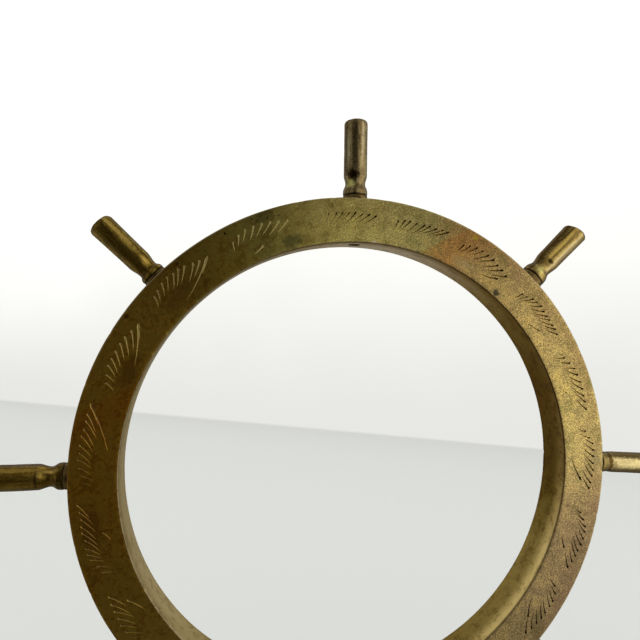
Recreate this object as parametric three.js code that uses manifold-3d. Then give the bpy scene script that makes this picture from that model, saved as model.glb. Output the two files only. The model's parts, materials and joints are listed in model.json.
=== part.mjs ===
// A small brass ship's wheel: an open, square-section rim with eight turned handles. Each handle
// stands on a thin collar and is held by a threaded stud that screws into the rim's outer edge.
// Millimetres. The origin is the rim's centre, Y is the wheel's axis with the engraved front
// face towards -Y, and Z is up. Angles turn from +X towards +Z, in degrees.
import * as THREE from "three";
import { mergeVertices } from "three/addons/utils/BufferGeometryUtils.js";
import Module from "manifold-3d";

const wasm = await Module();
wasm.setup();

const RIM_OUTER_RADIUS = 76;
const RIM_WIDTH = 12.5; // radial
const RIM_THICKNESS = 12; // along the wheel's axis
const RIM_EDGE_BEVEL = 0.3;
const RIM_SEGMENTS = 96;

// M4 thread, modelled as plain cylinders with the clearance of a running fit.
const HOLE_RADIUS = 2.05;
const STUD_RADIUS = 1.95;
const THREAD_DEPTH = 7; // stud length inside the rim
const HOLE_SPARE_DEPTH = 1.2; // hole beyond the stud's end
const DRILL_POINT = 1.2; // cone left by the drill
const STUD_IN_HANDLE = 4.6;
const BORE_SPARE_DEPTH = 0.3; // bore beyond the stud's other end
const STUD_POINT_BEVEL = 0.5;

// Flat seat cut into the rim's round edge under each collar.
const SEAT_RADIUS = 3.95;
const SEAT_DEPTH = 0.15;
const CONTACT_GAP = 0.02; // between faces that rest on each other

const COLLAR_HOLE_RADIUS = 2.15;
const COLLAR_BEVEL = 0.2;
const FOOT_BEVEL = 0.2;
const FOOT_SHARE = 0.42; // of the way from the collar to the neck, the foot keeps its full radius
const TIP_DOME = 0.35;

const HANDLE_SEGMENTS = 20;
const STUD_SEGMENTS = 16;
const COVE_STEPS = 4;
const TIP_STEPS = 3;
const CUTTER_OVERRUN = 3;

// The handles were turned and drilled by hand, so no two are quite alike. Heights are measured
// outwards from the rim's outer edge, and lean is how far the handle tilts off the wheel's radius.
const HANDLES = [
  { name: "top", angle: 89.2, lean: 0, collar: 1.5, foot: 3.5, neckAt: 4.9, neck: 2.85,
    shoulderAt: 7.5, body: 3.42, end: 3.45, tipRound: 1.3, length: 23.7, through: true },
  { name: "upper_right", angle: 44.3, lean: -0.3, collar: 2.5, foot: 3.7, neckAt: 6.5, neck: 2.96,
    shoulderAt: 10, body: 3.5, end: 3.67, tipRound: 2.1, length: 24.1 },
  { name: "right", angle: -1.35, lean: -3.1, collar: 2, foot: 3.3, neckAt: 4.6, neck: 3.0,
    shoulderAt: 7.6, body: 3.2, end: 3.25, tipRound: 1.3, length: 23.6 },
  { name: "lower_right", angle: -45.4, lean: 0.4, collar: 1.4, foot: 3.5, neckAt: 4.4, neck: 2.8,
    shoulderAt: 7.4, body: 3.38, end: 3.5, tipRound: 1.4, length: 23 },
  { name: "bottom", angle: -90.3, lean: 0.3, collar: 1.6, foot: 3.5, neckAt: 5, neck: 2.8,
    shoulderAt: 7.8, body: 3.4, end: 3.45, tipRound: 1.3, length: 23.6 },
  { name: "lower_left", angle: -134.6, lean: -0.4, collar: 1.3, foot: 3.45, neckAt: 4.3, neck: 2.75,
    shoulderAt: 7.3, body: 3.36, end: 3.55, tipRound: 1.6, length: 22.8 },
  { name: "left", angle: 179.65, lean: 0, collar: 1.7, foot: 3.55, neckAt: 5.1, neck: 2.62,
    shoulderAt: 8.7, body: 3.4, end: 3.48, tipRound: 1.4, length: 23.6 },
  { name: "upper_left", angle: 135.5, lean: 0.5, collar: 1.0, foot: 3.42, neckAt: 3.2, neck: 2.72,
    shoulderAt: 6.8, body: 3.32, end: 3.55, tipRound: 1.5, length: 21.6 },
];

const BRASS_RIM = new THREE.MeshStandardMaterial({
  color: 0x8a7440, roughness: 0.55, metalness: 0.9,
});
const BRASS_HANDLE = new THREE.MeshStandardMaterial({
  color: 0xa58a4a, roughness: 0.35, metalness: 1,
});
const BRASS_COLLAR = new THREE.MeshStandardMaterial({
  color: 0x7a6236, roughness: 0.5, metalness: 0.9,
});
const STEEL_STUD = new THREE.MeshStandardMaterial({
  color: 0x8b8c88, roughness: 0.4, metalness: 1,
});

const radians = THREE.MathUtils.degToRad;

// Turns [radius, height] points into a solid of revolution about Z.
function turned(profile, segments) {
  const points = profile.map(([radius, height]) => new THREE.Vector2(radius, height));
  return new THREE.LatheGeometry(points, segments).rotateX(Math.PI / 2);
}

// A smooth run of points from one [radius, height] to another, level at both ends.
function cove([fromRadius, fromHeight], [toRadius, toHeight], steps) {
  return Array.from({ length: steps + 1 }, (_, i) => {
    const along = i / steps;
    const ease = (1 - Math.cos(Math.PI * along)) / 2;
    return [
      THREE.MathUtils.lerp(fromRadius, toRadius, ease),
      THREE.MathUtils.lerp(fromHeight, toHeight, along),
    ];
  });
}

// A quarter round from the side of a rod to its end face.
function roundedEdge(radius, sideHeight, round, steps) {
  return Array.from({ length: steps + 1 }, (_, i) => {
    const turn = (Math.PI / 2) * (i / steps);
    return [radius - round * (1 - Math.cos(turn)), sideHeight + round * Math.sin(turn)];
  });
}

function toManifold(geometry) {
  const bare = geometry.clone();
  bare.deleteAttribute("normal");
  bare.deleteAttribute("uv");
  const merged = mergeVertices(bare, 1e-4);
  return new wasm.Manifold(new wasm.Mesh({
    numProp: 3,
    vertProperties: merged.attributes.position.array,
    triVerts: new Uint32Array(merged.index.array),
  }));
}

function fromManifold(solid) {
  const { vertProperties, triVerts } = solid.getMesh();
  const geometry = new THREE.BufferGeometry();
  geometry.setAttribute("position", new THREE.BufferAttribute(vertProperties, 3));
  geometry.setIndex(new THREE.BufferAttribute(triVerts, 1));
  geometry.computeVertexNormals();
  return geometry;
}

function named(name, geometry, material) {
  const mesh = new THREE.Mesh(geometry, material);
  mesh.name = name;
  return mesh;
}

// A frame on the rim's outer edge whose Z axis is the handle's own axis, pointing outwards.
function handleFrame({ angle, lean }) {
  const frame = new THREE.Group();
  frame.position.set(
    RIM_OUTER_RADIUS * Math.cos(radians(angle)),
    0,
    RIM_OUTER_RADIUS * Math.sin(radians(angle)),
  );
  frame.rotation.y = radians(90 - angle - lean);
  frame.updateMatrix();
  return frame;
}

function ringGeometry() {
  const outer = RIM_OUTER_RADIUS;
  const inner = outer - RIM_WIDTH;
  const face = RIM_THICKNESS / 2;
  const bevel = RIM_EDGE_BEVEL;
  const section = [
    [inner, -face + bevel],
    [inner + bevel, -face],
    [outer - bevel, -face],
    [outer, -face + bevel],
    [outer, face - bevel],
    [outer - bevel, face],
    [inner + bevel, face],
    [inner, face - bevel],
    [inner, -face + bevel],
  ];
  const points = section.map(([radius, along]) => new THREE.Vector2(radius, along));
  return new THREE.LatheGeometry(points, RIM_SEGMENTS);
}

// What is drilled out of the rim for one handle: the flat seat and the stud's hole.
function holeCutter({ through }) {
  const seat = -SEAT_DEPTH;
  const bottom = through
    ? -RIM_WIDTH - CUTTER_OVERRUN
    : seat - THREAD_DEPTH - HOLE_SPARE_DEPTH;
  return turned([
    [0, through ? bottom : bottom - DRILL_POINT],
    [HOLE_RADIUS, bottom],
    [HOLE_RADIUS, seat],
    [SEAT_RADIUS, seat],
    [SEAT_RADIUS, CUTTER_OVERRUN],
    [0, CUTTER_OVERRUN],
  ], HANDLE_SEGMENTS);
}

function rimRing() {
  let solid = toManifold(ringGeometry());
  for (const handle of HANDLES) {
    const cutter = holeCutter(handle).applyMatrix4(handleFrame(handle).matrix);
    solid = solid.subtract(toManifold(cutter));
  }
  return named("rim_ring", fromManifold(solid), BRASS_RIM);
}

function collar({ name, collar: top, foot }) {
  const bottom = -SEAT_DEPTH + CONTACT_GAP;
  return named("collar_" + name, turned([
    [COLLAR_HOLE_RADIUS, bottom],
    [foot - COLLAR_BEVEL, bottom],
    [foot, bottom + COLLAR_BEVEL],
    [foot, top - COLLAR_BEVEL],
    [foot - COLLAR_BEVEL, top],
    [COLLAR_HOLE_RADIUS, top],
    [COLLAR_HOLE_RADIUS, bottom],
  ], HANDLE_SEGMENTS), BRASS_COLLAR);
}

function stud({ name, collar: collarTop }) {
  const bottom = -SEAT_DEPTH - THREAD_DEPTH;
  const top = collarTop + STUD_IN_HANDLE;
  return named("stud_" + name, turned([
    [0, bottom],
    [STUD_RADIUS - STUD_POINT_BEVEL, bottom],
    [STUD_RADIUS, bottom + STUD_POINT_BEVEL],
    [STUD_RADIUS, top - STUD_POINT_BEVEL],
    [STUD_RADIUS - STUD_POINT_BEVEL, top],
    [0, top],
  ], STUD_SEGMENTS), STEEL_STUD);
}

function handle({ name, collar: collarTop, foot, neckAt, neck, shoulderAt, body, end, tipRound, length }) {
  const bottom = collarTop + CONTACT_GAP;
  const boreEnd = collarTop + STUD_IN_HANDLE + BORE_SPARE_DEPTH;
  const footTop = THREE.MathUtils.lerp(bottom, neckAt, FOOT_SHARE);
  const sideTop = length - TIP_DOME - tipRound;
  return named("handle_" + name, turned([
    [0, boreEnd],
    [HOLE_RADIUS, boreEnd],
    [HOLE_RADIUS, bottom],
    [foot - FOOT_BEVEL, bottom],
    [foot, bottom + FOOT_BEVEL],
    ...cove([foot, footTop], [neck, neckAt], COVE_STEPS),
    ...cove([neck, neckAt], [body, shoulderAt], COVE_STEPS).slice(1),
    ...roundedEdge(end, sideTop, tipRound, TIP_STEPS),
    [0, length],
  ], HANDLE_SEGMENTS), BRASS_HANDLE);
}

const group = new THREE.Group();
group.add(rimRing());
for (const shape of HANDLES) {
  const frame = handleFrame(shape);
  frame.add(collar(shape), stud(shape), handle(shape));
  group.add(frame);
}

export default group;
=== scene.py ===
"""Looks of a small brass ship's wheel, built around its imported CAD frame.

Shapes are written in millimetres and scaled to metres when a mesh is made. The row frame has
Y as the wheel's axis with the engraved front face towards -Y, and Z up. Angles round the wheel
turn from +X towards +Z, in degrees.
"""

import json
import math
from types import SimpleNamespace

import bpy
import numpy as np
from mathutils import Matrix, Vector


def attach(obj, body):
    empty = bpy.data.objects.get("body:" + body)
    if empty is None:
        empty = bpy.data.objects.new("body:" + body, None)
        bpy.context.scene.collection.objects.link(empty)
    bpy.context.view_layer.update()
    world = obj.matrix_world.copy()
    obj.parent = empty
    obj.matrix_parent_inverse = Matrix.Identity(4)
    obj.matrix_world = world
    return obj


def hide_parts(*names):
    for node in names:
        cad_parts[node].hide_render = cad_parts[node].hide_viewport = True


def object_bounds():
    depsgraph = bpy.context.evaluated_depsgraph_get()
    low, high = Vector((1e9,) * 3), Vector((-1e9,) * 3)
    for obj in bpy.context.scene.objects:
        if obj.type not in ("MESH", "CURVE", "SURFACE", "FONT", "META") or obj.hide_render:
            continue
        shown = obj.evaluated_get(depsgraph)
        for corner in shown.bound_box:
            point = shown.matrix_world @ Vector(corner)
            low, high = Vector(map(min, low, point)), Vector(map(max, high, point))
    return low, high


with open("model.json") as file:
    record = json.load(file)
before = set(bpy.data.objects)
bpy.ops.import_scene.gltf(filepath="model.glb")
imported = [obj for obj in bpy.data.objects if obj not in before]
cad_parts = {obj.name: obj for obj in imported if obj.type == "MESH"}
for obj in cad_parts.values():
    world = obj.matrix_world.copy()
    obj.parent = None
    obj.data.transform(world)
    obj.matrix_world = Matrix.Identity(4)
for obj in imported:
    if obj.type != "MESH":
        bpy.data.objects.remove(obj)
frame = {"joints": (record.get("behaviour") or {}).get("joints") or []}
cad_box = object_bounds()
scene = bpy.context.scene

MM = 0.001

# ------------------------------------------------ sizes, as in the CAD
RIM_OUTER = 76.0
RIM_WIDTH = 12.5
RIM_THICKNESS = 12.0
RIM_INNER = RIM_OUTER - RIM_WIDTH
FRONT = -RIM_THICKNESS / 2
SEAT_RADIUS = 3.95
SEAT_DEPTH = 0.15
THREAD_PITCH = 0.7
THREAD_RADIUS = 1.95
THREAD_HEIGHT = 0.36
THREAD_CLEARANCE = 0.1
THREAD_DEPTH = 7.0
STUD_IN_HANDLE = 4.6
HOLE_DEPTH = 8.35
DRILL_POINT = 1.1
THROUGH_OVERRUN = 3
GAP = 0.02

# Sizes of each handle. Heights ("_at" and length) are measured outwards from the rim's outer edge;
# slant is how much the tip was filed off level, and facets how flat the barrel's eight sides are.
HANDLE_SIZES = ("collar", "foot", "neck_at", "neck", "shoulder_at", "body", "end", "tip", "length",
                "slant", "facets")
HANDLES = {name: dict(zip(HANDLE_SIZES, sizes)) for name, sizes in {
    "top": (1.5, 3.5, 4.9, 2.85, 7.5, 3.42, 3.45, 1.3, 23.7, 0.25, 0.3),
    "upper_right": (2.5, 3.7, 6.5, 2.96, 10.0, 3.5, 3.67, 1.5, 24.1, 1.7, 0.45),
    "right": (2.0, 3.3, 4.6, 3.0, 7.6, 3.2, 3.25, 1.3, 23.6, 0.3, 0.2),
    "lower_right": (1.4, 3.5, 4.4, 2.8, 7.4, 3.38, 3.5, 1.4, 23.0, -0.4, 0.3),
    "bottom": (1.6, 3.5, 5.0, 2.8, 7.8, 3.4, 3.45, 1.3, 23.6, 0.2, 0.2),
    "lower_left": (1.3, 3.45, 4.3, 2.75, 7.3, 3.36, 3.55, 1.6, 22.8, -0.2, 0.4),
    "left": (1.7, 3.55, 5.1, 2.62, 8.7, 3.4, 3.48, 1.4, 23.6, 0.2, 0.35),
    "upper_left": (1.0, 3.42, 3.2, 2.72, 6.8, 3.32, 3.55, 1.5, 21.6, -0.15, 0.6),
}.items()}
HANDLES["top"]["through"] = True  # its hole comes out of the inner wall

# ------------------------------------------------ mesh helpers


def grid_faces(rows, columns, wrap_rows=False, wrap_columns=True):
    """Quads of a rows x columns grid of points, numbered row by row."""
    row_count = rows if wrap_rows else rows - 1
    column_count = columns if wrap_columns else columns - 1
    i, j = np.meshgrid(np.arange(row_count), np.arange(column_count), indexing="ij")
    i, j = i.ravel(), j.ravel()
    below, after = (i + 1) % rows, (j + 1) % columns
    quads = np.stack([i * columns + j, i * columns + after,
                      below * columns + after, below * columns + j], 1)
    return quads.tolist()


def make_object(name, points, faces, material=None, matrix=None, sharp=32.0):
    """A mesh object from points in millimetres, shaded smooth up to the sharp angle."""
    mesh = bpy.data.meshes.new(name)
    mesh.from_pydata((np.asarray(points) * MM).tolist(), [], faces)
    mesh.update()
    if material is not None:
        mesh.materials.append(material)
    shade(mesh, sharp)
    thing = bpy.data.objects.new(name, mesh)
    scene.collection.objects.link(thing)
    if matrix is not None:
        thing.matrix_world = matrix
    return thing


def shade(mesh, sharp):
    mesh.shade_smooth()
    mesh.set_sharp_from_angle(angle=math.radians(sharp))


def waves(count, lowest, highest, seed):
    """A repeatable smooth random function of an angle in radians, about -1 to 1."""
    chosen = np.random.default_rng(seed)
    rates = chosen.integers(lowest, highest + 1, count)
    phases = chosen.uniform(0, 2 * math.pi, count)
    sizes = chosen.uniform(0.4, 1.0, count)
    sizes = sizes / sizes.sum()

    def value(angle):
        angle = np.asarray(angle)
        return sum(s * np.sin(r * angle + p) for s, r, p in zip(sizes, rates, phases))

    return value


def polar(degrees, radius):
    """A point by its angle and radius."""
    turn = math.radians(degrees)
    return radius * np.array([math.cos(turn), math.sin(turn)])


def full_turn(columns):
    return np.linspace(0, 2 * math.pi, columns, endpoint=False)


def turned_points(profile, columns):
    """Points of a turned surface about Z: profile is rows of [radius, height]."""
    turn = full_turn(columns)
    radius = np.asarray([p[0] for p in profile])[:, None]
    height = np.asarray([p[1] for p in profile])[:, None]
    return np.stack([radius * np.cos(turn), radius * np.sin(turn), height + 0 * turn], -1)


def closed_turning(grid):
    """Points and faces of a turned grid, closed with a fan at each end."""
    rows, columns = grid.shape[:2]
    points = np.vstack([grid.reshape(-1, 3), grid[0].mean(0), grid[-1].mean(0)])
    faces = grid_faces(rows, columns)
    low, high = rows * columns, rows * columns + 1
    last = (rows - 1) * columns
    for j in range(columns):
        k = (j + 1) % columns
        faces.append([low, k, j])
        faces.append([high, last + j, last + k])
    return points, faces


def handle_matrix(joint):
    """The handle's own frame: Z along its axis, outwards, and Y along the wheel's axis."""
    outward = Vector(joint["axis"]).normalized()
    across = Vector((0, 1, 0)).cross(outward).normalized()
    ahead = outward.cross(across)
    turn = Matrix((across, ahead, outward)).transposed()
    return Matrix.Translation(Vector(joint["pos_m"])) @ turn.to_4x4()


FRAMES = {}
for joint in frame["joints"]:
    if joint["name"].startswith("unscrew_"):
        FRAMES[joint["name"][len("unscrew_"):]] = handle_matrix(joint)

# ------------------------------------------------ threads

THREAD_COLUMNS = 32
THREAD_ROWS_PER_TURN = 8
THREAD_CREST = 1.25  # over 1, so that the crest comes out flat
THREAD_FLANK = 3.2


def thread_grid(bottom, top, major, height, run_out=0.5):
    """A right-hand M4 thread about Z, in step with every other thread on the same axis."""
    rows = int((top - bottom) / THREAD_PITCH * THREAD_ROWS_PER_TURN) + 1
    z = np.linspace(bottom, top, rows)[:, None]
    turn = full_turn(THREAD_COLUMNS)[None]
    phase = (z / THREAD_PITCH - turn / (2 * math.pi)) % 1.0
    ridge = np.clip(THREAD_CREST - np.abs(phase - 0.5) * THREAD_FLANK, 0, 1)
    from_end = np.minimum(z - bottom, top - z)
    full = np.clip(from_end / run_out, 0, 1) if run_out else 1
    radius = major - height + height * ridge * full
    return np.stack([radius * np.cos(turn), radius * np.sin(turn), z + 0 * turn], -1)


def stud_grid(shape):
    """A threaded stud with a slightly narrower lower end."""
    top = shape["collar"] + STUD_IN_HANDLE
    grid = thread_grid(-SEAT_DEPTH - THREAD_DEPTH, top, THREAD_RADIUS, THREAD_HEIGHT)
    return np.concatenate([grid[:1] * [0.8, 0.8, 1.0], grid])


def hole_solid(shape):
    """What is cut out of the rim for one handle: a threaded hole and the collar's flat seat."""
    through = shape.get("through")
    bottom = -RIM_WIDTH - THROUGH_OVERRUN if through else -SEAT_DEPTH - HOLE_DEPTH
    major = THREAD_RADIUS + THREAD_CLEARANCE
    grid = thread_grid(bottom, -SEAT_DEPTH - 0.25, major, THREAD_HEIGHT, run_out=0)
    mouth = turned_points([[2.1, -SEAT_DEPTH - 0.2], [2.3, -SEAT_DEPTH],
                           [SEAT_RADIUS, -SEAT_DEPTH], [SEAT_RADIUS, 2.0]], THREAD_COLUMNS)
    point = [] if through else [turned_points([[0.2, bottom - DRILL_POINT]], THREAD_COLUMNS)]
    return closed_turning(np.concatenate(point + [grid, mouth]))


# ------------------------------------------------ rim

RIM_COLUMNS = 1080
EDGE_ROUND = 0.3
RIM_SHARP = 28
NICK_REACH = 0.45  # how far a knock spreads over the section


def straight(start, end, steps):
    """Points from start up to, but without, end."""
    start, end = np.array(start, float), np.array(end, float)
    return [start + (end - start) * i / steps for i in range(steps)]


def corner(centre, radius, from_degrees, steps=3):
    """Points round one edge of the rim's section, which is seen with radius across and y up."""
    return [centre + polar(from_degrees + 90 * i / steps, radius) for i in range(steps)]


def rim_section():
    """Closed outline of the rim's section as [radius, y]."""
    e, low, high, front, back = EDGE_ROUND, RIM_INNER, RIM_OUTER, FRONT, -FRONT
    outline = corner((low + e, front + e), e, 180)
    outline += straight((low + e, front), (high - e, front), 14)
    outline += corner((high - e, front + e), e, 270)
    outline += straight((high, front + e), (high, back - e), 8)
    outline += corner((high - e, back - e), e, 0)
    outline += straight((high - e, back), (low + e, back), 10)
    outline += corner((low + e, back - e), e, 90)
    outline += straight((low, back - e), (low, front + e), 8)
    return np.array(outline)


def nicks(count, seed):
    """Small knocks on the rim's edges: [angle, spread in degrees, depth, outer edge?, front?]."""
    chosen = np.random.default_rng(seed)
    return [(chosen.uniform(-180, 180), chosen.uniform(0.15, 0.6), chosen.uniform(0.03, 0.11),
             chosen.random() < 0.6, chosen.random() < 0.75) for _ in range(count)]


def rim_points():
    section = rim_section()
    turn = full_turn(RIM_COLUMNS)
    radius = np.repeat(section[:, 0][:, None], RIM_COLUMNS, 1)
    along = np.repeat(section[:, 1][:, None], RIM_COLUMNS, 1)
    outer_wave, inner_wave = waves(7, 2, 23, 5), waves(7, 2, 31, 6)
    share = (radius - RIM_INNER) / RIM_WIDTH
    radius += 0.04 * (share * outer_wave(turn) + (1 - share) * inner_wave(turn))
    face_wave, across_wave = waves(9, 3, 60, 7), waves(9, 5, 90, 8)
    swell = face_wave(turn) * (1 - share) + across_wave(turn) * share
    along += 0.03 * swell * np.where(along < 0, 1, -0.7)
    for at, spread, depth, outer, front in nicks(60, 9):
        away = (np.degrees(turn) - at + 180) % 360 - 180
        near = np.exp(-((away / spread) ** 2))[None]
        edge_r = RIM_OUTER if outer else RIM_INNER
        edge_y = FRONT if front else -FRONT
        reach = np.exp(-(((radius - edge_r) / NICK_REACH) ** 2 + ((along - edge_y) / NICK_REACH) ** 2))
        radius += near * reach * depth * (-1 if outer else 1)
        along += near * reach * depth * (1 if front else -1)
    return np.stack([radius * np.cos(turn), along, radius * np.sin(turn)], -1)


LEAF_TOP = 0.35  # where along a leaf its marks start from the highest radius
# Each leaf of tool marks: first mark's angle, how far round the last one is, how many marks,
# and the radius that the first, the highest and the last mark start from.
LEAVES = [
    (199.0, 14.5, 11, 71.2, 73.2, 73.4), (180.0, 15.6, 11, 71.9, 73.4, 72.7),
    (159.0, 13.7, 9, 71.2, 72.5, 71.0), (138.5, 13.5, 10, 72.4, 73.6, 71.2),
    (118.5, 13.0, 8, 71.3, 73.0, 71.7), (99.3, 13.9, 10, 71.2, 71.8, 71.4),
    (80.2, 12.2, 9, 70.9, 71.5, 72.2), (63.4, 12.8, 9, 71.0, 72.3, 70.7),
    (44.7, 13.2, 11, 70.2, 72.2, 71.6), (25.7, 13.5, 9, 70.3, 72.4, 72.3),
    (6.8, 13.7, 10, 70.7, 73.1, 71.9), (-12.8, 13.2, 10, 70.6, 73.3, 71.8),
    (-31.3, 13.0, 9, 70.8, 72.6, 71.4), (-49.9, 13.6, 10, 71.0, 72.9, 71.8),
    (-68.4, 12.9, 10, 70.7, 72.4, 71.6), (-86.9, 13.8, 11, 71.1, 73.0, 71.3),
    (-105.4, 13.1, 9, 70.9, 72.7, 72.0), (-124.0, 13.4, 10, 71.3, 73.1, 71.5),
    (-142.5, 13.0, 9, 71.0, 72.8, 72.1),
]
# The stem of each leaf: outer angle and radius, inner angle and radius, depth share.
STEMS = [
    (191.0, 68.3, 193.2, 66.8, 1.0), (164.3, 72.7, 173.5, 66.3, 1.0), (145.3, 71.0, 153.5, 66.3, 1.0),
    (125.0, 71.2, 135.0, 65.6, 0.9), (112.6, 67.1, 115.3, 65.9, 1.1), (90.0, 68.0, 91.2, 67.2, 0.5),
    (68.0, 72.2, 72.6, 69.2, 0.8), (52.0, 68.3, 56.5, 66.2, 1.0), (35.0, 67.5, 39.3, 65.6, 0.65),
    (17.5, 67.2, 19.9, 65.5, 0.5), (-4.6, 68.8, 0.9, 65.6, 1.2), (-22.0, 68.2, -19.3, 66.2, 1.0),
    (-41.0, 68.5, -37.0, 66.0, 1.0), (-60.5, 68.2, -56.5, 65.9, 0.9), (-79.0, 68.4, -74.5, 66.0, 1.0),
    (-97.5, 68.0, -93.0, 65.8, 0.8), (-116.0, 68.6, -111.5, 66.1, 1.1), (-134.5, 68.3, -130.5, 66.0, 1.0),
    (-153.0, 68.4, -149.0, 65.9, 0.9),
]


def leaf_marks():
    """The leaves' marks as (outer angle, outer radius, inner angle, inner radius, depth share)."""
    chosen = np.random.default_rng(17)
    found = []
    for first, span, count, start, high, last in LEAVES:
        for i in range(count):
            share = i / (count - 1)
            angle = first - span * share + chosen.normal(0, 0.1)
            if share < LEAF_TOP:
                radius = start + (high - start) * math.sin(share / LEAF_TOP * math.pi / 2)
            else:
                radius = high + (last - high) * ((share - LEAF_TOP) / (1 - LEAF_TOP)) ** 1.6
            radius += chosen.normal(0, 0.12)
            back = 0.9 + 2.3 * min(1, share * 1.5) + chosen.normal(0, 0.15)
            drop = 2.6 + 0.5 * math.sin(share * math.pi) + chosen.normal(0, 0.15)
            found.append((angle, radius, angle + back, radius - drop, chosen.uniform(0.82, 1.15)))
    return found


MARK_WIDTH = 0.27  # half width at the surface
MARK_DEPTH = 0.24
MARK_ABOVE = 0.1  # how far the cutter stands out of the face
MARK_BOW = 0.035
# How deep and wide a mark is along its length: the graver digs in, then runs out.
MARK_STATIONS = [(-0.07, 0.0), (-0.02, 0.95), (0.03, 1.2), (0.08, 1.15), (0.15, 0.72), (0.4, 0.66),
                 (0.7, 0.5), (0.92, 0.28), (1.04, 0.0)]


def mark_solid(mark):
    """A tapering V-shaped cutter that lies along one mark."""
    outer, inner = polar(*mark[:2]), polar(*mark[2:4])
    length = np.linalg.norm(inner - outer)
    ahead = (inner - outer) / length
    side = np.array([-ahead[1], ahead[0]])
    points = []
    for along, size in MARK_STATIONS:
        depth = MARK_DEPTH * mark[4] * size
        width = (MARK_WIDTH * size + MARK_WIDTH / MARK_DEPTH * MARK_ABOVE) * mark[4] ** 0.5
        bow = MARK_BOW * length * math.sin(math.pi * max(0, min(1, along)))
        middle = outer + ahead * along * length + side * bow
        for out, y in ((0, FRONT + depth), (width, FRONT - MARK_ABOVE), (-width, FRONT - MARK_ABOVE)):
            x, z = middle + side * out
            points.append([x, y, z])
    last = len(points) - 3
    faces = grid_faces(len(MARK_STATIONS), 3) + [[2, 1, 0], [last, last + 1, last + 2]]
    return np.array(points), faces


def cut(thing, solids, name, material):
    """Cuts the joined solids out of an object and keeps the result as its mesh."""
    points, faces, count = [], [], 0
    for part_points, part_faces in solids:
        points.append(part_points)
        faces += [[k + count for k in f] for f in part_faces]
        count += len(part_points)
    cutter = make_object(name, np.vstack(points), faces, material)
    step = thing.modifiers.new(name, "BOOLEAN")
    step.operation = "DIFFERENCE"
    step.solver = "MANIFOLD"
    step.material_mode = "TRANSFER"
    step.object = cutter
    seen = bpy.context.evaluated_depsgraph_get()
    result = bpy.data.meshes.new_from_object(thing.evaluated_get(seen))
    thing.modifiers.clear()
    thing.data = result
    bpy.data.objects.remove(cutter)


def placed(solid, matrix):
    """A solid in a handle's frame, moved to the row frame, in millimetres."""
    points, faces = solid
    turn = np.array(matrix.to_3x3())
    shift = np.array(matrix.translation) / MM
    return points @ turn.T + shift, faces


def take_place(piece, node, body):
    """Lets a piece stand for a CAD node: hides the node and puts the piece on the node's body."""
    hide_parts(node)
    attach(piece, body)


def build_rim(material, groove_material, hole_material):
    grid = rim_points()
    faces = [quad[::-1] for quad in grid_faces(len(grid), RIM_COLUMNS, wrap_rows=True)]
    rim = make_object("rim", grid.reshape(-1, 3), faces, material)
    holes = [placed(hole_solid(shape), FRAMES[name]) for name, shape in HANDLES.items()]
    cut(rim, holes, "holes", hole_material)
    cut(rim, [mark_solid(m) for m in leaf_marks()], "leaf_marks", groove_material)
    cut(rim, [mark_solid(m) for m in STEMS], "stem_marks", groove_material)
    shade(rim.data, RIM_SHARP)
    take_place(rim, "rim_ring", "rim")


# ------------------------------------------------ handles, collars, studs

HANDLE_COLUMNS = 72
WAIST_STEPS = 14
BARREL_STEPS = 48
TIP_STEPS = 9
HANDLE_BORE = 2.05
COLLAR_BORE = 2.15
CROWN = 0.35  # how far the end face bulges
FLAT_SIDES = 8
FIRST_FLAT = 0.55  # radians


def ease(low, high, share):
    return low + (high - low) * (1 - math.cos(math.pi * share)) / 2


def handle_profile(shape):
    """Outline of a handle from the bore's closed end round to the middle of its tip."""
    base = shape["collar"] + GAP
    bore_end = shape["collar"] + STUD_IN_HANDLE + 0.3
    foot, neck, body, end = shape["foot"], shape["neck"], shape["body"], shape["end"]
    foot_top = base + (shape["neck_at"] - base) * 0.36
    bore = HANDLE_BORE
    rows = [[0.3, bore_end], [bore, bore_end], [bore, bore_end - 0.2], [bore, base + 0.1]]
    rows += [[bore + 0.05, base]]
    rows += [[foot - 0.32, base], [foot - 0.1, base + 0.08], [foot, base + 0.32]]
    rows += [[foot + 0.02, (base + 0.32 + foot_top) / 2], [foot - 0.02, foot_top]]
    neck_at, shoulder_at, tip = shape["neck_at"], shape["shoulder_at"], shape["tip"]
    shares = [i / WAIST_STEPS for i in range(1, WAIST_STEPS + 1)]
    rows += [[ease(foot - 0.02, neck, share), foot_top + (neck_at - foot_top) * share]
             for share in shares]
    rows += [[ease(neck, body, share), neck_at + (shoulder_at - neck_at) * share] for share in shares]
    side_top = shape["length"] - CROWN - tip
    for share in (i / BARREL_STEPS for i in range(1, BARREL_STEPS)):
        rows.append([body + (end - body) * share ** 1.5, shoulder_at + (side_top - shoulder_at) * share])
    for turn in (math.pi / 2 * i / TIP_STEPS for i in range(TIP_STEPS + 1)):
        rows.append([end - tip * (1 - math.cos(turn)), side_top + tip * math.sin(turn)])
    last = rows[-1][0]
    for share in (0.25, 0.5, 0.75, 0.92):
        rows.append([last * (1 - share), side_top + tip + CROWN * (1 - (1 - share) ** 2)])
    return rows


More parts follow.
